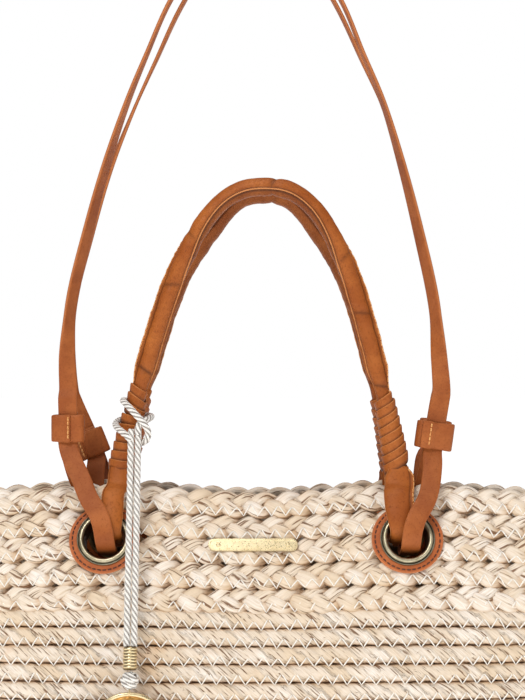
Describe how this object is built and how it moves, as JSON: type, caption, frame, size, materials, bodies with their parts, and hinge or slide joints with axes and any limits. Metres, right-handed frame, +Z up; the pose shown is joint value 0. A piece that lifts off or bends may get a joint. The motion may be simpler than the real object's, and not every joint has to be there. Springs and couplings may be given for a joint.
{
  "type": "beach bag",
  "caption": "Straw beach bag with a plaited band, eyelets on leather patches, padded handles, shoulder straps with keepers and a coin charm on a cord.",
  "frame": {"origin": "middle of the base where it rests", "axes": "+Z up, +X to the right of the front, the front with the charm towards -Y"},
  "size_m": [0.48, 0.1756, 0.7212],
  "materials": {
    "straw": "coiled and plaited straw, matte",
    "patch_leather": "reddish tan, stitched",
    "handle_leather": "tan, waxed",
    "strap_leather": "reddish tan, satin",
    "rope_core": "twisted fibre, hidden",
    "antique_brass": "antiqued",
    "gold_metal": "polished gold plate",
    "twisted_cord": "silky twisted cord"
  },
  "bodies": {
    "bag": {"base_mat": "straw", "lower_coiled_wall": "straw", "upper_coiled_wall": "straw", "lower_braid_course": "straw", "eyelet_braid_band": "straw", "rim_braid_course": "straw", "front_left_outer_patch": "patch_leather", "front_left_inner_patch": "patch_leather", "front_left_washer": "antique_brass", "front_left_eyelet": "antique_brass", "front_left_handle_end": "handle_leather", "front_left_strap_end": "strap_leather", "front_right_outer_patch": "patch_leather", "front_right_inner_patch": "patch_leather", "front_right_washer": "antique_brass", "front_right_eyelet": "antique_brass", "front_right_handle_end": "handle_leather", "front_right_strap_end": "strap_leather", "back_left_outer_patch": "patch_leather", "back_left_inner_patch": "patch_leather", "back_left_washer": "antique_brass", "back_left_eyelet": "antique_brass", "back_left_handle_end": "handle_leather", "back_left_strap_end": "strap_leather", "back_right_outer_patch": "patch_leather", "back_right_inner_patch": "patch_leather", "back_right_washer": "antique_brass", "back_right_eyelet": "antique_brass", "back_right_handle_end": "handle_leather", "back_right_strap_end": "strap_leather", "brass_bar": "gold_metal", "left_bar_pin": "gold_metal", "right_bar_pin": "gold_metal"},
    "front_handle": {"front_handle_cover": "handle_leather", "front_handle_core": "rope_core", "front_left_wrap": "handle_leather", "front_right_wrap": "handle_leather", "cord_hitch": "twisted_cord"},
    "front_strap": {"front_strap": "strap_leather"},
    "back_handle": {"back_handle_cover": "handle_leather", "back_handle_core": "rope_core", "back_left_wrap": "handle_leather", "back_right_wrap": "handle_leather"},
    "back_strap": {"back_strap": "strap_leather"},
    "front_left_keeper": {"front_left_keeper": "strap_leather"},
    "front_right_keeper": {"front_right_keeper": "strap_leather"},
    "back_left_keeper": {"back_left_keeper": "strap_leather"},
    "back_right_keeper": {"back_right_keeper": "strap_leather"},
    "charm_cord": {"left_cord_strand": "twisted_cord", "right_cord_strand": "twisted_cord", "cord_ferrule": "gold_metal", "cord_knot": "twisted_cord"},
    "charm": {"charm_rim": "gold_metal", "charm_coin": "gold_metal"}
  },
  "joints": [
    {"name": "front_handle_fold", "type": "hinge", "parent": "bag", "child": "front_handle", "pos_m": [0, -0.036, 0.325], "axis": [1, 0, 0], "range_deg": [-1, 120]},
    {"name": "front_strap_fold", "type": "hinge", "parent": "bag", "child": "front_strap", "pos_m": [0, -0.026, 0.386], "axis": [1, 0, 0], "range_deg": [0, 156]},
    {"name": "back_handle_fold", "type": "hinge", "parent": "bag", "child": "back_handle", "pos_m": [0, 0.036, 0.325], "axis": [-1, 0, 0], "range_deg": [-1, 120]},
    {"name": "back_strap_fold", "type": "hinge", "parent": "bag", "child": "back_strap", "pos_m": [0, 0.026, 0.386], "axis": [-1, 0, 0], "range_deg": [0, 156]},
    {"name": "front_left_keeper_slide", "type": "slide", "parent": "bag", "child": "front_left_keeper", "axis": [0, 0, 1], "range_m": [0, 0.008]},
    {"name": "front_right_keeper_slide", "type": "slide", "parent": "bag", "child": "front_right_keeper", "axis": [0.0523, 0, 0.9986], "range_m": [0, 0.008]},
    {"name": "back_left_keeper_slide", "type": "slide", "parent": "bag", "child": "back_left_keeper", "axis": [-0.3746, 0, 0.9272], "range_m": [0, 0.008]},
    {"name": "back_right_keeper_slide", "type": "slide", "parent": "bag", "child": "back_right_keeper", "axis": [0.0523, 0, 0.9986], "range_m": [0, 0.008]},
    {"name": "charm_cord_swing", "type": "hinge", "parent": "front_handle", "child": "charm_cord", "pos_m": [-0.084, -0.037, 0.363], "axis": [1, 0, 0], "range_deg": [-120, 1]},
    {"name": "charm_sway", "type": "hinge", "parent": "charm_cord", "child": "charm", "pos_m": [-0.084, -0.089, 0.197], "axis": [0, 1, 0], "range_deg": [-25, 25]}
  ],
  "couplings": [
    {"joint": "charm_cord_swing", "follows": "front_handle_fold", "ratio": -1}
  ]
}
